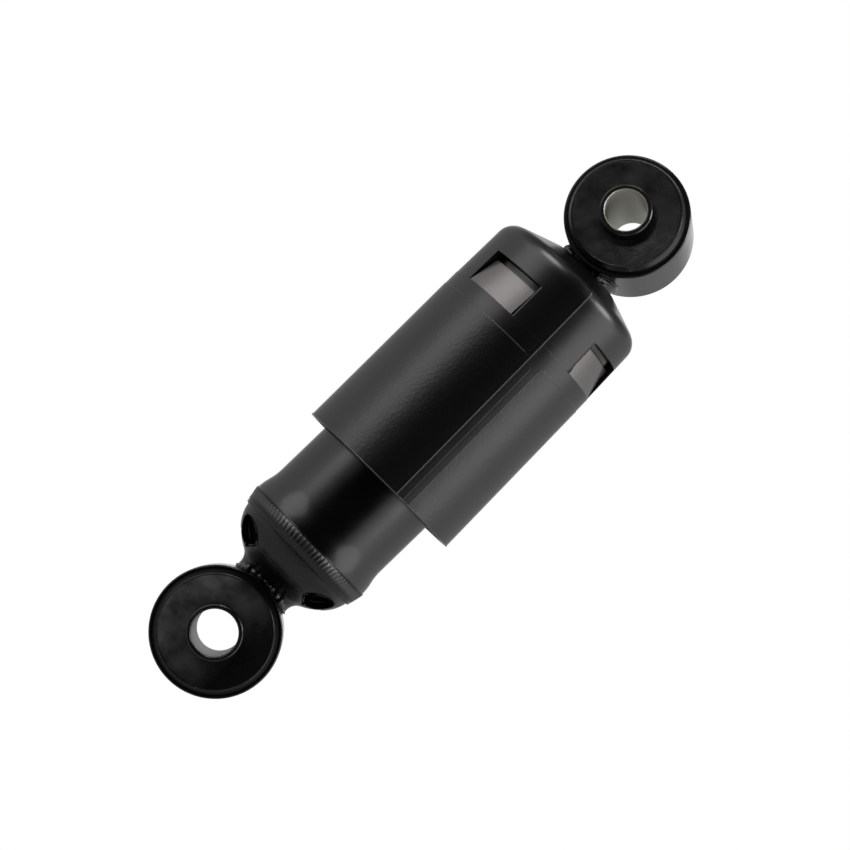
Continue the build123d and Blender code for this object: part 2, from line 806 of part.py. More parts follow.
with BuildPart() as upright_cover:
    add(wall_section())
    revolve(axis=Axis.Z)
    with BuildSketch(Plane.XY.offset(rib_bottom)):
        with PolarLocations(top_r - cover_wall / 2 - rib_reach / 2, rib_count):
            Rectangle(rib_reach, rib_width)
    extrude(amount=rib_height)
    for seam in seams:
        with Locations(Location((0, 0, 0), (0, 0, seam + seam_strip))):
            add(grained_panel.part)
        with Locations(Location((0, 0, 0), (0, 0, seam - seam_sweep / 2))):
            add(seam_line.part)
    for centre in window_centres:
        with BuildSketch(Plane.XY.offset(window_bottom)):
            with BuildLine():
                window_edge = CenterArc((0, 0), line_r + cover_wall, centre - window_angle / 2, window_angle)
                Line((0, 0), window_edge @ 0)
                Line((0, 0), window_edge @ 1)
            make_face()
            Circle(line_r - tongue_lean - cover_wall, mode=Mode.SUBTRACT)
        extrude(amount=window_height, mode=Mode.SUBTRACT)
    for centre in window_centres:
        with Locations(Location((0, 0, 0), (0, 0, centre - tongue_angle / 2))):
            add(tongue.part)

# The cover hangs a little crooked and to one side of the plate, as loosely snapped covers do
lean_place = Location((cover_shift, 0, plate_seat)) * Location((0, 0, 0), (0, cover_lean, 0))
with BuildPart() as dust_cover:
    with Locations(lean_place * Location((0, 0, -plate_seat))):
        add(upright_cover.part)
dust_cover.part.label = "dust_cover"
export_step(dust_cover.part, "parts/dust_cover.step")
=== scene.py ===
import json
from math import atan2, ceil, cos, exp, pi, radians, sin, sqrt, tan

import bmesh
import bpy
from mathutils import Matrix, Vector
from mathutils.bvhtree import BVHTree


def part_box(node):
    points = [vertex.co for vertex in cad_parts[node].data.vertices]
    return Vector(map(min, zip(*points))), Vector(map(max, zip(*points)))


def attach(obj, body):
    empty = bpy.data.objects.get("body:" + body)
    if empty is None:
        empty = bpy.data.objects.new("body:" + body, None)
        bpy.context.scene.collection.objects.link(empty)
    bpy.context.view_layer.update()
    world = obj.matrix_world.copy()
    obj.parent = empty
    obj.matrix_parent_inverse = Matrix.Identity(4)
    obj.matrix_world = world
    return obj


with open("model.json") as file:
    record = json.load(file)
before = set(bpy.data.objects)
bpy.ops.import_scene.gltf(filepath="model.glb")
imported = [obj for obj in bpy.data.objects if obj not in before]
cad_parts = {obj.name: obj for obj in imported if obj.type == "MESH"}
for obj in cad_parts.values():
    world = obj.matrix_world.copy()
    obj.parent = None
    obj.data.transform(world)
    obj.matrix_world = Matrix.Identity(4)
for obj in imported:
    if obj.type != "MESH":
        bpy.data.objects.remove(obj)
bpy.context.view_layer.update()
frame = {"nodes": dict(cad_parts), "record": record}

nodes = frame["nodes"]
mounts = {mount["name"]: mount for mount in frame["record"]["mounts"]}


# Camera: a long lens, square on to the lower bore and rolled, so that the damper lies from lower left to
# upper right as it does in the photograph. Its place is in millimetres
def metres(*lengths):
    """Lengths in millimetres as a vector in metres."""
    return Vector(lengths) / 1000


camera_lens = 121.1
camera_place = metres(-1.5, -1226.4, 70.9)
camera_tilt = radians(2.52)
camera_roll = radians(46.06)

looking = Vector((0, cos(camera_tilt), sin(camera_tilt)))
along_object = Vector((0, -sin(camera_tilt), cos(camera_tilt)))
across_object = Vector((1, 0, 0))
picture_right = along_object * sin(camera_roll) + across_object * cos(camera_roll)
picture_up = along_object * cos(camera_roll) - across_object * sin(camera_roll)
camera_data = bpy.data.cameras.new("camera")
camera_data.sensor_width = 36
camera_data.lens = camera_lens
camera = bpy.data.objects.new("camera", camera_data)
bpy.context.scene.collection.objects.link(camera)
turn = Matrix((picture_right, picture_up, -looking)).transposed().to_4x4()
camera.matrix_world = Matrix.Translation(camera_place) @ turn
bpy.context.scene.camera = camera
bpy.context.scene.view_settings.view_transform = "Standard"


# Room: a white studio with a dark screen round the camera. The screen's edges draw the two grey bands
# along the tube and the cover, with a dark band between them. Ceiling and floor are dimmer than the walls
def add_node(tree, kind, inputs=None, **settings):
    """A node with its settings. An input is a value, or the socket of another node that feeds it."""
    node = tree.nodes.new(kind)
    for name, value in settings.items():
        setattr(node, name, value)
    for name, value in (inputs or {}).items():
        if isinstance(value, bpy.types.NodeSocket):
            tree.links.new(value, node.inputs[name])
        else:
            node.inputs[name].default_value = value
    return node


# Brightness of the walls at each angle round the object, in degrees from the camera, positive to the right
wall_light = (
    (-180, 1.0),
    (-172, 1.0),
    (-158, 0.35),
    (-130, 0.5),
    (-100, 0.8),
    (-82, 1.1),
    (-66, 1.6),
    (-52, 1.3),
    (-40, 0.42),
    (-26, 0.05),
    (-14, 0.01),
    (25, 0.01),
    (36, 0.12),
    (44, 0.8),
    (56, 1.6),
    (70, 1.8),
    (84, 1.45),
    (100, 1.0),
    (130, 0.6),
    (158, 0.35),
    (172, 1.0),
    (180, 1.0),
)
ceiling_share = 0.4
floor_light = 0.2
# Rise of a ray at which ceiling and floor begin, and at which nothing of the walls is left
ceiling_begins, ceiling_full = 0.4, 0.75
floor_begins, floor_full = -0.12, -0.45

world = bpy.data.worlds.new("studio")
world.use_nodes = True
bpy.context.scene.world = world
tree = world.node_tree
tree.nodes.clear()
direction = add_node(tree, "ShaderNodeTexCoord")
parts = add_node(tree, "ShaderNodeSeparateXYZ", {0: direction.outputs["Generated"]})
towards_camera = add_node(tree, "ShaderNodeMath", {0: parts.outputs["Y"], 1: -1.0}, operation="MULTIPLY")
round_object = add_node(
    tree, "ShaderNodeMath", {0: parts.outputs["X"], 1: towards_camera.outputs[0]}, operation="ARCTAN2"
)
share_of_turn = add_node(
    tree, "ShaderNodeMath", {0: round_object.outputs[0], 1: 1 / (2 * pi), 2: 0.5}, operation="MULTIPLY_ADD"
)
walls = add_node(tree, "ShaderNodeValToRGB", {"Fac": share_of_turn.outputs[0]})
brightest = max(light for angle, light in wall_light)
ramp = walls.color_ramp
while len(ramp.elements) < len(wall_light):
    ramp.elements.new(0.5)
# The stops take their colours after all of them are in place, because moving one can change their order
for stop, (angle, light) in zip(ramp.elements, wall_light):
    stop.position = angle / 360 + 0.5
for stop, (angle, light) in zip(ramp.elements, wall_light):
    stop.color = (light / brightest, light / brightest, light / brightest, 1)
wall_strength = add_node(
    tree, "ShaderNodeMath", {0: walls.outputs["Color"], 1: brightest}, operation="MULTIPLY"
)
upward = add_node(
    tree,
    "ShaderNodeMapRange",
    {
        "Value": parts.outputs["Z"],
        "From Min": ceiling_begins,
        "From Max": ceiling_full,
        "To Min": 1.0,
        "To Max": ceiling_share,
    },
    interpolation_type="SMOOTHSTEP",
)
downward = add_node(
    tree,
    "ShaderNodeMapRange",
    {"Value": parts.outputs["Z"], "From Min": floor_begins, "From Max": floor_full},
    interpolation_type="SMOOTHSTEP",
)
lidded = add_node(
    tree, "ShaderNodeMath", {0: wall_strength.outputs[0], 1: upward.outputs["Result"]}, operation="MULTIPLY"
)
room = add_node(tree, "ShaderNodeMix", {0: downward.outputs["Result"], 2: lidded.outputs[0], 3: floor_light})
rays = add_node(tree, "ShaderNodeLightPath")
strength = add_node(tree, "ShaderNodeMix", {0: rays.outputs["Is Camera Ray"], 2: room.outputs[0], 3: 1.0})
studio_light = add_node(tree, "ShaderNodeBackground", {"Color": (1, 1, 1, 1), "Strength": strength.outputs[0]})
add_node(tree, "ShaderNodeOutputWorld", {"Surface": studio_light.outputs["Background"]})


# Floor: a pale sheet below the lower eye, out of the picture, which keeps a soft shadow. From
# underneath it lets the camera through
floor_drop = 300
floor_half = 700
floor_grey = 0.5
floor_glow = 1.2
glow_share = 0.75

floor_mesh = bpy.data.meshes.new("floor")
floor_corners = [
    metres(x * floor_half, y * floor_half, -floor_drop) for x, y in ((-1, -1), (1, -1), (1, 1), (-1, 1))
]
floor_mesh.from_pydata(floor_corners, [], [(0, 1, 2, 3)])
floor = bpy.data.objects.new("floor", floor_mesh)
bpy.context.scene.collection.objects.link(floor)
floor_paint = bpy.data.materials.new("pale floor")
floor_paint.use_nodes = True
tree = floor_paint.node_tree
tree.nodes.clear()
matt = add_node(tree, "ShaderNodeBsdfDiffuse", {"Color": (floor_grey, floor_grey, floor_grey, 1)})
glow = add_node(tree, "ShaderNodeEmission", {"Strength": floor_glow})
clear = add_node(tree, "ShaderNodeBsdfTransparent")
rays = add_node(tree, "ShaderNodeLightPath")
seen = add_node(
    tree, "ShaderNodeMath", {0: rays.outputs["Is Camera Ray"], 1: glow_share}, operation="MULTIPLY"
)
pale = add_node(tree, "ShaderNodeMixShader", {0: seen.outputs[0], 1: matt.outputs[0], 2: glow.outputs[0]})
side = add_node(tree, "ShaderNodeNewGeometry")
one_sided = add_node(
    tree, "ShaderNodeMixShader", {0: side.outputs["Backfacing"], 1: pale.outputs[0], 2: clear.outputs[0]}
)
add_node(tree, "ShaderNodeOutputMaterial", {"Surface": one_sided.outputs[0]})
floor_mesh.materials.append(floor_paint)


# Lamps: an upright softbox on each side, beside the head, brightens the walls' reflection towards the top,
# and a high one above each lights the shoulder of the cover and the beads of the welds
def softbox(name, place, aim, width, length, watts):
    """An area lamp at a place in millimetres, turned towards another."""
    lamp = bpy.data.lights.new(name, "AREA")
    lamp.shape = "ELLIPSE"
    lamp.size = width / 1000
    lamp.size_y = length / 1000
    lamp.energy = watts
    holder = bpy.data.objects.new(name, lamp)
    holder.location = metres(*place)
    holder.rotation_euler = (metres(*aim) - metres(*place)).to_track_quat("-Z", "Y").to_euler()
    bpy.context.scene.collection.objects.link(holder)


# Place, aim, width, length and watts of each
softboxes = {
    "left softbox": ((-780, -440, 560), (0, 0, 300), 820, 1000, 1.7),
    "right softbox": ((840, -380, 560), (0, 0, 300), 820, 1000, 1.7),
    "high left softbox": ((-640, -370, 1100), (0, 0, 200), 560, 460, 4.4),
    "high right softbox": ((700, -320, 1050), (0, 0, 200), 560, 460, 5),
}
for name, settings in softboxes.items():
    softbox(name, *settings)


# Black enamel: steel parts are sprayed as one assembly, so it covers rings, welds, foot, tube and head plate.
# A stoving enamel: deep black, semi-gloss, with a faint orange peel and thicker, rounder paint on each edge
def linear_colour(code):
    """The linear colour of an sRGB hex code."""
    parts = [int(code[start:start + 2], 16) / 255 for start in (0, 2, 4)]
    return tuple(part / 12.92 if part <= 0.04045 else ((part + 0.055) / 1.055) ** 2.4 for part in parts) + (1,)


def new_material(name):
    """An empty material, with its tree and the object coordinates that its patterns read."""
    made = bpy.data.materials.new(name)
    made.use_nodes = True
    made.node_tree.nodes.clear()
    place = add_node(made.node_tree, "ShaderNodeTexCoord")
    return made, made.node_tree, place.outputs["Object"]


def patches(tree, place, size, low, high, detail=3.0):
    """A soft pattern of patches about size millimetres wide, from a low value to a high one."""
    cloud = add_node(tree, "ShaderNodeTexNoise", {"Vector": place, "Scale": 1000 / size, "Detail": detail})
    spread = {"Value": cloud.outputs["Fac"], "From Min": 0.3, "From Max": 0.7, "To Min": low, "To Max": high}
    return add_node(tree, "ShaderNodeMapRange", spread).outputs["Result"]


def relief(tree, height, depth, under):
    """The surface normal over a pattern of heights from 0 to 1, depth millimetres deep."""
    bump = add_node(tree, "ShaderNodeBump", {"Height": height, "Distance": depth / 1000, "Normal": under})
    return bump.outputs["Normal"]


def round_edges(tree, radius):
    """The surface normal with each sharp edge rounded by a radius in millimetres."""
    return add_node(tree, "ShaderNodeBevel", {"Radius": radius / 1000}, samples=4).outputs["Normal"]


def finish_material(tree, **inputs):
    """The shader and output of a material, with the values and sockets given."""
    named = {name.replace("_", " "): value for name, value in inputs.items()}
    shader = add_node(tree, "ShaderNodeBsdfPrincipled", named)
    add_node(tree, "ShaderNodeOutputMaterial", {"Surface": shader.outputs["BSDF"]})


def dress(node, material):
    """Gives a CAD node its material."""
    mesh = nodes[node].data
    mesh.materials.clear()
    mesh.materials.append(material)


black_enamel, tree, place = new_material("stoved black enamel")
finish_material(
    tree,
    Base_Color=linear_colour("050506"),
    Roughness=patches(tree, place, 9, 0.16, 0.22),
    Normal=relief(tree, patches(tree, place, 1.4, 0, 1, detail=1.0), 0.003, round_edges(tree, 0.5)),
)
for node in ("lower_eye_ring", "upper_eye_ring", "reservoir_tube", "head_plate"):
    dress(node, black_enamel)


# Bushes: moulded rubber, painted over with the rest. The face is glossy, with cloudy patches of a lighter grey
# that grow towards the lit left side, a painted reflection, and the lip that is rolled over the ring's end stayed
# matt
# Painted reflection: x in millimetres where the lighter patches begin and where they are at full strength
painted_sheen_none_at = 14
painted_sheen_full_at = -18
painted_rubber = {}
# Painted reflection: each face mixes towards its own lighter grey in patches, stronger towards -x; the lower
# face's grey is lighter
for end, painted_sheen_colour in (("lower", "565655"), ("upper", "383838")):
    painted_rubber[end], tree, place = new_material(f"painted rubber of the {end} bush")
    lumps = relief(tree, patches(tree, place, 8, 0, 1, detail=4.0), 0.06, round_edges(tree, 0.4))
    spot = add_node(tree, "ShaderNodeSeparateXYZ", {0: place})
    towards_lit_side = add_node(
        tree,
        "ShaderNodeMapRange",
        {"Value": spot.outputs["X"], "From Min": painted_sheen_none_at / 1000, "From Max": painted_sheen_full_at / 1000},
    )
    painted_sheen_amount = add_node(
        tree,
        "ShaderNodeMath",
        {0: patches(tree, place, 10, 0.1, 1), 1: towards_lit_side.outputs["Result"]},
        operation="MULTIPLY",
    )
    rubber_with_painted_sheen = add_node(tree, "ShaderNodeMix", {"Factor": painted_sheen_amount.outputs[0]}, data_type="RGBA")
    rubber_with_painted_sheen.inputs[6].default_value = linear_colour("0f0f0e")
    rubber_with_painted_sheen.inputs[7].default_value = linear_colour(painted_sheen_colour)
    finish_material(
        tree,
        Base_Color=rubber_with_painted_sheen.outputs[2],
        Roughness=patches(tree, place, 5, 0.08, 0.2),
        Normal=relief(tree, patches(tree, place, 1.2, 0, 1), 0.01, lumps),
    )

matt_rubber, tree, place = new_material("matt moulded rubber")
finish_material(
    tree,
    Base_Color=linear_colour("060606"),
    Roughness=0.45,
    Specular_IOR_Level=0.06,
    Normal=relief(tree, patches(tree, place, 0.8, 0, 1), 0.02, round_edges(tree, 0.3)),
)

face_radius = 24.9
for end in ("lower", "upper"):
    mount = mounts[f"{end}_eye_bore"]
    eye, axis = Vector(mount["pos_m"]), Vector(mount["axis"])
    dress(f"{end}_bush_rubber", painted_rubber[end])
    mesh = nodes[f"{end}_bush_rubber"].data
    mesh.materials.append(matt_rubber)
    for face in mesh.polygons:
        if (face.center - eye).cross(axis).length > face_radius / 1000:
            face.material_index = 1


# Sleeves: cold-drawn steel. The ends and what shows of the outside took paint, and the bore, which was
# plugged, kept its grey phosphate
bore_margin = 0.3
bore_metallic = 0.6
bore_roughness = 0.42
paint_roughness = 0.2
# The bore's grey is given in two shades: darker in the lower sleeve as painted shade inside its bore, lighter in
# the upper as painted light on its lit wall
for end, bore_grey_lit_or_shaded in (("lower", "33322d"), ("upper", "b8b8ac")):
    mount = mounts[f"{end}_eye_bore"]
    sleeve_finish, tree, place = new_material(f"{end} sleeve steel")
    centred = add_node(tree, "ShaderNodeVectorMath", {0: place, 1: mount["pos_m"]}, operation="SUBTRACT")
    crossed = add_node(
        tree, "ShaderNodeVectorMath", {0: centred.outputs["Vector"], 1: mount["axis"]}, operation="CROSS_PRODUCT"
    )
    from_axis = add_node(tree, "ShaderNodeVectorMath", {0: crossed.outputs["Vector"]}, operation="LENGTH")
    outside = add_node(
        tree,
        "ShaderNodeMath",
        {0: from_axis.outputs["Value"], 1: (mount["dims"]["r_mm"] + bore_margin) / 1000},
        operation="GREATER_THAN",
    )
    painted = outside.outputs[0]
    colour = add_node(tree, "ShaderNodeMix", data_type="RGBA")
    tree.links.new(painted, colour.inputs["Factor"])
    colour.inputs[6].default_value = linear_colour(bore_grey_lit_or_shaded)
    colour.inputs[7].default_value = linear_colour("0b0b0b")
    metal = add_node(tree, "ShaderNodeMath", {0: bore_metallic, 1: painted}, operation="SUBTRACT", use_clamp=True)
    roughness = add_node(tree, "ShaderNodeMix", {0: painted, 2: bore_roughness, 3: paint_roughness})
    finish_material(
        tree,
        Base_Color=colour.outputs[2],
        Metallic=metal.outputs[0],
        Roughness=roughness.outputs[0],
        Normal=relief(tree, patches(tree, place, 1.5, 0, 1), 0.008, round_edges(tree, 0.5)),
    )
    dress(f"{end}_bush_sleeve", sleeve_finish)


# Weld beads: laid round the neck and round the boss where each lands on its eye ring, one small scallop
# after the other, and then painted. The enamel lies thick and glossy on them
def set_inputs(holder, tree, values):
    """Sets a modifier's inputs, which it keeps under their sockets' identifiers."""
    for socket in tree.interface.items_tree:
        if socket.in_out == "INPUT" and socket.name in values:
            holder[socket.identifier] = values[socket.name]


def grow(name, start, tree, body, slot, **values):
    """Makes a plain mesh piece with a node tree, from a start mesh. It rides on a body."""
    piece = bpy.data.objects.new(name, start)
    bpy.context.scene.collection.objects.link(piece)
    maker = piece.modifiers.new(name, "NODES")
    maker.node_group = tree
    set_inputs(maker, tree, values)
    piece.update_tag()
    bpy.context.view_layer.update()
    finished = bpy.data.meshes.new_from_object(piece.evaluated_get(bpy.context.evaluated_depsgraph_get()))
    finished.name = name
    piece.modifiers.clear()
    piece.data = finished
    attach(piece, body)


def new_shape_tree(name, **sockets):
    """An empty geometry tree with a geometry input and output, and a named input for each size."""
    tree = bpy.data.node_groups.new(name, "GeometryNodeTree")
    tree.interface.new_socket("Geometry", in_out="INPUT", socket_type="NodeSocketGeometry")
    for socket, kind in sockets.items():
        tree.interface.new_socket(socket, in_out="INPUT", socket_type=kind)
    tree.interface.new_socket("Geometry", in_out="OUTPUT", socket_type="NodeSocketGeometry")
    return tree, add_node(tree, "NodeGroupInput")


def close_shape_tree(tree, shape, material):
    """Ends a geometry tree with real geometry, shaded smooth, in its material."""
    real = add_node(tree, "GeometryNodeRealizeInstances", {"Geometry": shape})
    smooth = add_node(tree, "GeometryNodeSetShadeSmooth", {"Geometry": real.outputs["Geometry"]})
    painted = add_node(
        tree, "GeometryNodeSetMaterial", {"Geometry": smooth.outputs["Geometry"], "Material": material}
    )
    add_node(tree, "NodeGroupOutput", {"Geometry": painted.outputs["Geometry"]})


bead_tree, given = new_shape_tree("bead along a path", Material="NodeSocketMaterial", Sides="NodeSocketInt")
path_curve = add_node(bead_tree, "GeometryNodeMeshToCurve", {"Mesh": given.outputs["Geometry"]})
thickness = add_node(bead_tree, "GeometryNodeInputNamedAttribute", {"Name": "thickness"}, data_type="FLOAT")
section = add_node(
    bead_tree, "GeometryNodeCurvePrimitiveCircle", {"Radius": 1.0, "Resolution": given.outputs["Sides"]}
)
bead = add_node(
    bead_tree,
    "GeometryNodeCurveToMesh",
    {
        "Curve": path_curve.outputs["Curve"],
        "Profile Curve": section.outputs["Curve"],
        "Scale": thickness.outputs["Attribute"],
        "Fill Caps": True,
    },
)
close_shape_tree(bead_tree, bead.outputs["Mesh"], given.outputs["Material"])


def lay_bead(name, points, radii, closed, material, body, slot, sides=10):
    """Lays a bead along points in metres, with its radius in millimetres at each point."""
    path = bpy.data.meshes.new(name + " path")
    edges = [(index, index + 1) for index in range(len(points) - 1)]
    if closed:
        edges.append((len(points) - 1, 0))
    path.from_pydata(points, edges, [])
    kept = path.attributes.new("thickness", "FLOAT", "POINT")
    kept.data.foreach_set("value", [radius / 1000 for radius in radii])
    grow(name, path, bead_tree, body, slot, Material=material, Sides=sides)


def full_turn(count):
    """That many angles, evenly round a circle."""
    return [2 * pi * index / count for index in range(count)]


weld_enamel, tree, place = new_material("enamel on a weld")
finish_material(
    tree,
    Base_Color=linear_colour("050506"),
    Roughness=patches(tree, place, 3, 0.06, 0.14),
    Normal=relief(tree, patches(tree, place, 2.2, 0, 1), 0.25, round_edges(tree, 0.3)),
)
for node in ("lower_weld", "upper_weld"):
    dress(node, weld_enamel)

neck_diameter = 28.8
boss_diameter = 26.8
weld_scallop = 3.1
weld_thickness = 1.2
weld_stand_off = 1.3
stand_off_outward = 0.3
points_per_scallop = 10
scallop_depth = 0.16
# How far round the ring's side, as a share of its radius, the bead swells, and where it starts to thin out
weld_swelling = 1.3
swelling_at, swelling_width = 0.3, 0.11
weld_thinning = 0.7
thinning_from, thinning_span = 0.4, 0.1

for end, body, diameter, side in (
    ("lower", "damper_tube", neck_diameter, 1),
    ("upper", "rod_group", boss_diameter, -1),
):
    mount = mounts[f"{end}_eye_bore"]
    low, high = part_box(f"{end}_eye_ring")
    ring_radius = (high[2] - low[2]) / 2
    eye = Vector(mount["pos_m"])
    across_ring = Vector((mount["axis"][1], -mount["axis"][0], 0))
    scallops = ceil(pi * diameter / weld_scallop)
    points, radii = [], []
    for index, angle in enumerate(full_turn(scallops * points_per_scallop)):
        spot = metres(cos(angle), sin(angle), 0) * (diameter / 2 + weld_stand_off * stand_off_outward)
        beside = (spot - eye).dot(across_ring)
        spot.z = eye.z + side * (sqrt(ring_radius ** 2 - beside ** 2) + weld_stand_off / 1000)
        points.append(spot)
        steepness = abs(beside) / ring_radius
        swollen = weld_swelling * exp(-(((steepness - swelling_at) / swelling_width) ** 2))
        thinned = weld_thinning * max(0, steepness - thinning_from) / thinning_span
        base = weld_thickness + swollen - thinned
        scallop = abs(sin(pi * index / points_per_scallop))
        uneven = 0.1 * sin(5 * angle + 1) + 0.08 * sin(13 * angle) + 0.05 * sin(31 * angle)
        radii.append(base * (1 - scallop_depth + scallop_depth * scallop + uneven))
    lay_bead(f"{end}_weld_bead", points, radii, True, weld_enamel, body, "black_paint", sides=12)


# Edge of each rubber face: a thin moulded ridge, which the thick glossy paint turns into a bright line. It is
# laid on the surface that rays from outside the part meet
def surface_of(mesh):
    """The mesh as a surface for rays to meet."""
    corners = [vertex.co for vertex in mesh.vertices]
    return BVHTree.FromPolygons(corners, [face.vertices[:] for face in mesh.polygons])


ray_start = 60
face_edge_inset = 3.7
face_edge_radius = 0.42
face_edge_points = 90
for end, body in (("lower", "damper_tube"), ("upper", "rod_group")):
    mount = mounts[f"{end}_eye_bore"]
    eye, axis = Vector(mount["pos_m"]), Vector(mount["axis"])
    across_ring = Vector((axis.y, -axis.x, 0))
    low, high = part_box(f"{end}_eye_ring")
    edge_circle = (high[2] - low[2]) / 2 - face_edge_inset / 1000
    rubber_skin = surface_of(nodes[f"{end}_bush_rubber"].data)
    for name, way in (("front", -1), ("back", 1)):
        edge_line = []
        for turned in full_turn(face_edge_points):
            spot = eye + (across_ring * cos(turned) + Vector((0, 0, 1)) * sin(turned)) * edge_circle
            hit = rubber_skin.ray_cast(spot + axis * way * (ray_start / 1000), axis * -way)[0]
            if hit:
                edge_line.append(hit)
        edge_radii = [face_edge_radius] * len(edge_line)
        lay_bead(f"{end}_{name}_face_edge", edge_line, edge_radii, True, black_enamel, body, "black_rubber")


# Foot: drop-forged steel, painted over its scale, so its enamel is duller than the tube's. Paint lies thick on
# the edges of the pockets, on the flash line left in each of them, and on the crease under the cone
forged_enamel, tree, place = new_material("black enamel over forging scale")
finish_material(
    tree,
    Base_Color=linear_colour("060606"),
    Roughness=patches(tree, place, 6, 0.26, 0.36),
    Normal=relief(tree, patches(tree, place, 1.6, 0, 1), 0.012, round_edges(tree, 0.6)),
)
dress("foot", forged_enamel)

pocket_mouth = [(17.3, 34.3), (15.0, 37.7), (23.8, 43.6), (26.8, 43.6)]
pocket_sagittas = [0, 0.9, 0, 1.6]
pocket_overlap = 0.3
points_per_side = 12
rim_radius = 0.55
pocket_flash = [(17.4, 36.6), (21.4, 39.9), (25.2, 43.0)]
flash_radii = [0.9, 1.2, 0.8]
flash_depth = 3.8
crease_radius = 24.3
crease_height = 37.7
crease_thin = 0.12
crease_swelling = 0.22

foot_skin = surface_of(nodes["foot"].data)
mouth_middle = Vector([sum(corner[axis] for corner in pocket_mouth) / 4 for axis in (0, 1)])
mouth = []
for start, end, sagitta in zip(pocket_mouth, pocket_mouth[1:] + pocket_mouth[:1], pocket_sagittas):
    start, end = Vector(start), Vector(end)
    side = Vector((end.y - start.y, start.x - end.x)).normalized()
    if side.dot((start + end) / 2 - mouth_middle) < 0:
        side.negate()
    for step in range(points_per_side):
        share = step / points_per_side
        spot = start.lerp(end, share) + side * (sagitta * 4 * share * (1 - share))
        mouth.append(spot + (spot - mouth_middle).normalized() * pocket_overlap)
for number, (x_side, y_side) in enumerate(((-1, -1), (1, -1), (1, 1), (-1, 1)), 1):
    rim = []
    for spot in mouth:
        outside = metres(x_side * spot.x, y_side * ray_start, spot.y)
        hit = foot_skin.ray_cast(outside, Vector((0, -y_side, 0)))[0]
        if hit:
            rim.append(hit)
    rim_radii = [rim_radius] * len(rim)
    lay_bead(f"pocket_rim_{number}", rim, rim_radii, True, black_enamel, "damper_tube", "black_paint")
    flash = [metres(x_side * x, y_side * flash_depth, z) for x, z in pocket_flash]
    lay_bead(f"pocket_flash_{number}", flash, flash_radii, False, black_enamel, "damper_tube", "black_paint")
for number, middle in ((1, -90), (2, 90)):
    turns = [radians(turned) for turned in range(middle - 34, middle + 35, 2)]
    crease = [metres(cos(turned) * crease_radius, sin(turned) * crease_radius, crease_height) for turned in turns]
    swell = [crease_thin + crease_swelling * cos(turned - radians(middle)) for turned in turns]
    lay_bead(f"crease_{number}", crease, swell, False, black_enamel, "damper_tube", "black_paint")


# Band of the foot: a slightly conical band that the die gave fine upright ridges, under the edge of the tube.
# The tube's cut edge lies on it, with paint gathered there
band_bottom = 47.5
band_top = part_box("reservoir_tube")[0].z * 1000
band_radius_low = 30.95
band_radius_high = 32.5
band_gap = 0.05
ridge_count = 100
ridge_length = 5.6
ridge_radius = 0.45
ridge_rise = 0.06
ridge_gap = 0.2
band_lean = atan2(band_radius_high - band_radius_low, band_top - band_bottom)

band_tree, given = new_shape_tree(
    "ridged band",
    Count="NodeSocketInt",
    Bottom="NodeSocketFloat",
    Height="NodeSocketFloat",
    LowRadius="NodeSocketFloat",
    HighRadius="NodeSocketFloat",
    RidgeHeight="NodeSocketFloat",
    RidgeAt="NodeSocketFloat",
    RidgeLength="NodeSocketFloat",
    RidgeRadius="NodeSocketFloat",
    Lean="NodeSocketFloat",
    Material="NodeSocketMaterial",
)
cone = add_node(
    band_tree,
    "GeometryNodeMeshCone",
    {
        "Vertices": 200,
        "Radius Top": given.outputs["HighRadius"],
        "Radius Bottom": given.outputs["LowRadius"],
        "Depth": given.outputs["Height"],
    },
)
to_bottom = add_node(band_tree, "ShaderNodeCombineXYZ", {"Z": given.outputs["Bottom"]})
band = add_node(
    band_tree, "GeometryNodeSetPosition", {"Geometry": cone.outputs["Mesh"], "Offset": to_bottom.outputs[0]}
)
circle = add_node(
    band_tree, "GeometryNodeMeshCircle", {"Vertices": given.outputs["Count"], "Radius": given.outputs["RidgeAt"]}
)
to_height = add_node(band_tree, "ShaderNodeCombineXYZ", {"Z": given.outputs["RidgeHeight"]})
raised = add_node(
    band_tree, "GeometryNodeSetPosition", {"Geometry": circle.outputs["Mesh"], "Offset": to_height.outputs[0]}
)
ridge = add_node(
    band_tree,
    "GeometryNodeMeshCylinder",
    {
        "Vertices": 10,
        "Side Segments": 6,
        "Radius": given.outputs["RidgeRadius"],
        "Depth": given.outputs["RidgeLength"],
    },
)
which = add_node(band_tree, "GeometryNodeInputIndex")
step = add_node(band_tree, "ShaderNodeMath", {0: 2 * pi, 1: given.outputs["Count"]}, operation="DIVIDE")
around = add_node(band_tree, "ShaderNodeMath", {0: which.outputs[0], 1: step.outputs[0]}, operation="MULTIPLY")
aimed = add_node(band_tree, "ShaderNodeCombineXYZ", {"Y": given.outputs["Lean"], "Z": around.outputs[0]})
uneven = add_node(
    band_tree,
    "FunctionNodeRandomValue",
    {"Min": (0.97, 0.9, 0.9), "Max": (1.03, 1.1, 1.0), "Seed": 4},
    data_type="FLOAT_VECTOR",
)
ridges = add_node(
    band_tree,
    "GeometryNodeInstanceOnPoints",
    {
        "Points": raised.outputs["Geometry"],
        "Instance": ridge.outputs["Mesh"],
        "Rotation": aimed.outputs[0],
        "Scale": uneven.outputs[0],
    },
)
both = add_node(band_tree, "GeometryNodeJoinGeometry")
band_tree.links.new(ridges.outputs["Instances"], both.inputs[0])
band_tree.links.new(band.outputs["Geometry"], both.inputs[0])
close_shape_tree(band_tree, both.outputs["Geometry"], given.outputs["Material"])
ridge_middle = band_top - ridge_gap - ridge_length / 2
radius_at_middle = band_radius_low + tan(band_lean) * (ridge_middle - band_bottom)
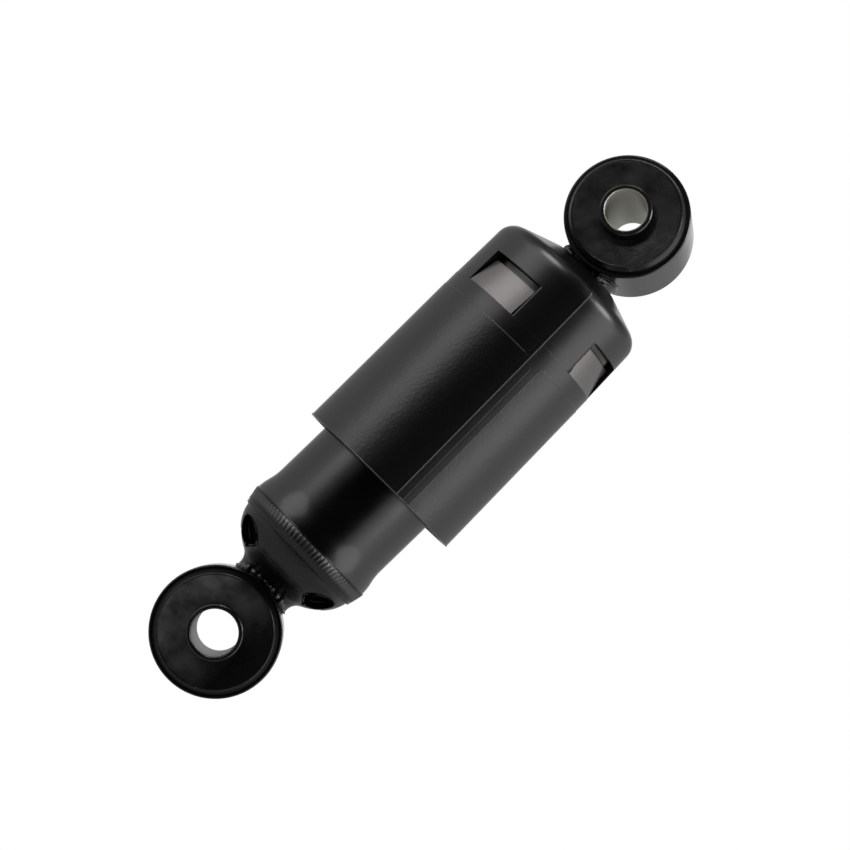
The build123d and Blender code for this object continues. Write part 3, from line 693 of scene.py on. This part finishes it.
grow(
    "foot_band",
    bpy.data.meshes.new("foot band start"),
    band_tree,
    "damper_tube",
    "black_paint",
    Count=ridge_count,
    Bottom=band_bottom / 1000,
    Height=(band_top - band_gap - band_bottom) / 1000,
    LowRadius=band_radius_low / 1000,
    HighRadius=band_radius_high / 1000,
    RidgeHeight=ridge_middle / 1000,
    RidgeAt=(radius_at_middle + ridge_rise - ridge_radius) / 1000,
    RidgeLength=ridge_length / 1000,
    RidgeRadius=ridge_radius / 1000,
    Lean=band_lean,
    Material=forged_enamel,
)

tube_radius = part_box("reservoir_tube")[1].x * 1000
tube_edge_rise = 0.25
edge_points = 120
tube_edge = [
    metres(cos(turned) * tube_radius, sin(turned) * tube_radius, band_top + tube_edge_rise)
    for turned in full_turn(edge_points)
]
edge_radii = [0.35] * edge_points
lay_bead("tube_end_edge", tube_edge, edge_radii, True, black_enamel, "damper_tube", "black_paint", sides=8)


# Dust cover: injection-moulded polypropylene. The skirt's panels are grained by the mould, and the head and
# the strip beside each seam are smooth. The snap tongues in the windows get a paler, metal-like colour, a painted
# highlight
cover_shift = -0.6
cover_lean = radians(-1.4)
plate_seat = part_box("head_plate")[0].z
cover_place = Matrix.Translation(Vector((cover_shift / 1000, 0, plate_seat))) @ Matrix.Rotation(cover_lean, 4, "Y")
# Heights above the plate's seat in millimetres, and angles from a seam
seat_height = plate_seat * 1000
cover_bottom = 94.05 - seat_height
panel_top = 174.15 - seat_height
tongue_bottom = 181.5 - seat_height
tongue_top = 195.6 - seat_height
cover_top = 220.05 - seat_height
seam_turn = radians(12.8 - 90)
seam_strip = radians(10.2)
tongue_middle = radians(48.1)
tongue_half = radians(22)

cover_plastic, tree, place = new_material("moulded polypropylene")
seated = add_node(tree, "ShaderNodeVectorMath", {0: place, 1: cover_place.translation}, operation="SUBTRACT")
upright = add_node(
    tree, "ShaderNodeMapping", {"Vector": seated.outputs["Vector"], "Rotation": cover_place.inverted().to_euler()}
)
spot = add_node(tree, "ShaderNodeSeparateXYZ", {0: upright.outputs["Vector"]})
height = spot.outputs["Z"]
around = add_node(tree, "ShaderNodeMath", {0: spot.outputs["Y"], 1: spot.outputs["X"]}, operation="ARCTAN2")
half_turns = add_node(
    tree, "ShaderNodeMath", {0: around.outputs[0], 1: 1 / pi, 2: 2 - seam_turn / pi}, operation="MULTIPLY_ADD"
)
past_seam = add_node(tree, "ShaderNodeMath", {0: half_turns.outputs[0]}, operation="FRACT").outputs[0]
beside_strip = add_node(tree, "ShaderNodeMath", {0: past_seam, 1: seam_strip / pi}, operation="GREATER_THAN")
below_top = add_node(tree, "ShaderNodeMath", {0: height, 1: panel_top / 1000}, operation="LESS_THAN")
grained = add_node(
    tree, "ShaderNodeMath", {0: beside_strip.outputs[0], 1: below_top.outputs[0]}, operation="MULTIPLY"
)

grain = patches(tree, place, 1.5, 0, 1)
grain_height = add_node(tree, "ShaderNodeMath", {0: grain, 1: grained.outputs[0]}, operation="MULTIPLY")
sunk = relief(tree, patches(tree, place, 12, 0, 1, detail=1.0), 0.05, round_edges(tree, 0.3))
finish_material(
    tree,
    Base_Color=linear_colour("09090a"),
    Roughness=0.28,
    Normal=relief(tree, grain_height.outputs[0], 0.035, sunk),
)
dress("dust_cover", cover_plastic)

# Painted highlight: the tongues' paler grey and metallic look stand in for the lamp light they catch
tongue_painted_highlight, tree, place = new_material("painted highlight on the cover's tongues")
finish_material(
    tree,
    Base_Color=linear_colour("6b6867"),
    Metallic=0.8,
    Roughness=patches(tree, place, 9, 0.27, 0.33),
    Normal=relief(tree, patches(tree, place, 5, 0, 1), 0.01, round_edges(tree, 0.3)),
)
cover_mesh = nodes["dust_cover"].data
cover_mesh.materials.append(tongue_painted_highlight)
onto_seat = cover_place.inverted()
for face in cover_mesh.polygons:
    spot = onto_seat @ face.center
    from_seam = abs((atan2(spot.y, spot.x) - seam_turn + pi / 2) % pi - pi / 2)
    in_height = tongue_bottom < spot.z * 1000 < tongue_top
    if in_height and abs(from_seam - tongue_middle) < tongue_half:
        face.material_index = 1

# Painted highlight: the raised lines are coloured a lighter grey than the cover, for the light their rounded tops
# catch
raised_line_highlight, tree, place = new_material("painted highlight on the cover's raised lines")
finish_material(tree, Base_Color=linear_colour("3a3a3a"), Roughness=patches(tree, place, 3, 0.3, 0.45))


# Flash of the cover: a fine raised line where the two halves of the mould met, up both sides to the shoulder,
# the edges and the fold of the panel beside it, the windows' upright edges, and the skirt's rim
cover_skin = surface_of(cover_mesh)


def on_cover(height, turned):
    """The point of the cover's outside at a height from its seat in millimetres, at an angle round it."""
    outward = Vector((cos(turned), sin(turned), 0))
    start = cover_place @ (outward * (ray_start / 1000) + metres(0, 0, height))
    return cover_skin.ray_cast(start, cover_place.to_3x3() @ -outward)[0]


def cover_line(name, places, radius, closed=False):
    """Lays a raised line on the cover, through places given by height and angle."""
    points = [point for point in (on_cover(height, turned) for height, turned in places) if point]
    lay_bead(name, points, [radius] * len(points), closed, raised_line_highlight, "rod_group", "cover_plastic", sides=8)


def climb(low, high, steps, turned):
    """Places straight up the cover, from a low height to a high one."""
    return [(low + (high - low) * step / steps, turned) for step in range(steps + 1)]


panel_corner = 2.0
cover_radius = 39.5
fold_turn = radians(5.4)
fold_end = 3
jamb_overlap = radians(0.7)
window_bottom = tongue_bottom - 0.3
window_height = 17.2
line_bottom = cover_bottom + 0.4
seam_top = cover_top - 8.5
# Radius of each kind of line, in millimetres
seam_line, panel_line, panel_top_line, fold_line, window_line, rim_line = 0.32, 0.36, 0.22, 0.2, 0.26, 0.3

for number, start in enumerate((seam_turn, seam_turn + pi), 1):
    cover_line(f"cover_seam_{number}", climb(line_bottom, seam_top, 160, start), seam_line)
    beside = start + seam_strip
    side = climb(line_bottom, panel_top - panel_corner, 60, beside)
    bend = [
        (
            panel_top - panel_corner * (1 - sin(radians(turned))),
            beside + panel_corner * (1 - cos(radians(turned))) / cover_radius,
        )
        for turned in range(10, 91, 10)
    ]
    over = [(panel_top, beside + panel_corner / cover_radius + radians(turned)) for turned in range(3, 165, 3)]
    cover_line(f"cover_panel_{number}", side + bend, panel_line)
    cover_line(f"cover_panel_top_{number}", over, panel_top_line)
    fold = climb(line_bottom, panel_top - fold_end, 60, start + fold_turn)
    cover_line(f"cover_fold_{number}", fold, fold_line)
    for hand, way in (("right", 1), ("left", -1)):
        jamb = start + way * (tongue_middle - tongue_half - jamb_overlap)
        frame_line = climb(window_bottom, window_bottom + window_height, 20, jamb)
        cover_line(f"cover_window_{hand}_{number}", frame_line, window_line)
rim = [(cover_bottom + rim_line, turned) for turned in full_turn(edge_points)]
cover_line("cover_rim", rim, rim_line, closed=True)


# Shade ring: a short black ring, shaped as a pressed ring round the head plate's seat, put in the darkness behind
# the tongues as painted shade. Stop ring: a short pressed ring round the head plate's seat, guessed from the
# darkness behind the tongues.
# Each corner of its profile is given by radius and by height above the seat
ring_profile = [(33.6, -8.5), (34.6, -8.5), (34.6, 0.3), (33.6, 0.3)]
ring_points = 96
shade_ring = bmesh.new()
corners = [
    [
        shade_ring.verts.new((radius / 1000 * cos(turned), radius / 1000 * sin(turned), plate_seat + height / 1000))
        for radius, height in ring_profile
    ]
    for turned in full_turn(ring_points)
]
for here, there in zip(corners, corners[1:] + corners[:1]):
    for index in range(4):
        shade_ring.faces.new((here[index], there[index], there[(index + 1) % 4], here[(index + 1) % 4]))
bmesh.ops.recalc_face_normals(shade_ring, faces=shade_ring.faces)
ring_mesh = bpy.data.meshes.new("shade_ring")
shade_ring.to_mesh(ring_mesh)
shade_ring.free()
ring_mesh.materials.append(forged_enamel)
ring_piece = bpy.data.objects.new("shade_ring", ring_mesh)
bpy.context.scene.collection.objects.link(ring_piece)
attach(ring_piece, "rod_group")


# Inside, seen only where the pieces are shown one by one: chromed rod, honed and sintered steel, seal and
# band. Each takes the common finish of its material
def plain_finish(name, colour, metallic, roughness, *dressed):
    """A plain material with a slight unevenness of gloss, on the CAD nodes named."""
    made, tree, place = new_material(name)
    finish_material(
        tree,
        Base_Color=linear_colour(colour),
        Metallic=metallic,
        Roughness=patches(tree, place, 4, roughness * 0.85, roughness * 1.15),
    )
    for node in dressed:
        dress(node, made)


plain_finish("hard chrome", "c9cacd", 1.0, 0.12, "piston_rod")
plain_finish(
    "drawn steel", "8d8d8b", 1.0, 0.35, "pressure_tube", "seal_washer", "rebound_stop", "check_stop_washer"
)
plain_finish(
    "blued spring steel",
    "4c4f55",
    1.0,
    0.3,
    "base_check_spring",
    "piston_check_spring",
    "piston_discs",
    "base_valve_discs",
)
plain_finish("ground steel", "a5a5a2", 1.0, 0.25, "base_check_plate", "piston_check_plate", "base_valve_pin")
plain_finish("zinc-plated steel", "a9abab", 1.0, 0.32, "piston_nut")
plain_finish("sintered iron", "57585a", 0.8, 0.55, "piston", "base_valve_body", "rod_guide")
plain_finish("bronze-lined bush", "8a6a45", 1.0, 0.35, "guide_bush")
plain_finish("bronze-filled PTFE", "6a4a30", 0.0, 0.5, "piston_band")
plain_finish("nitrile rubber", "161616", 0.0, 0.45, "rod_seal", "bump_stop")
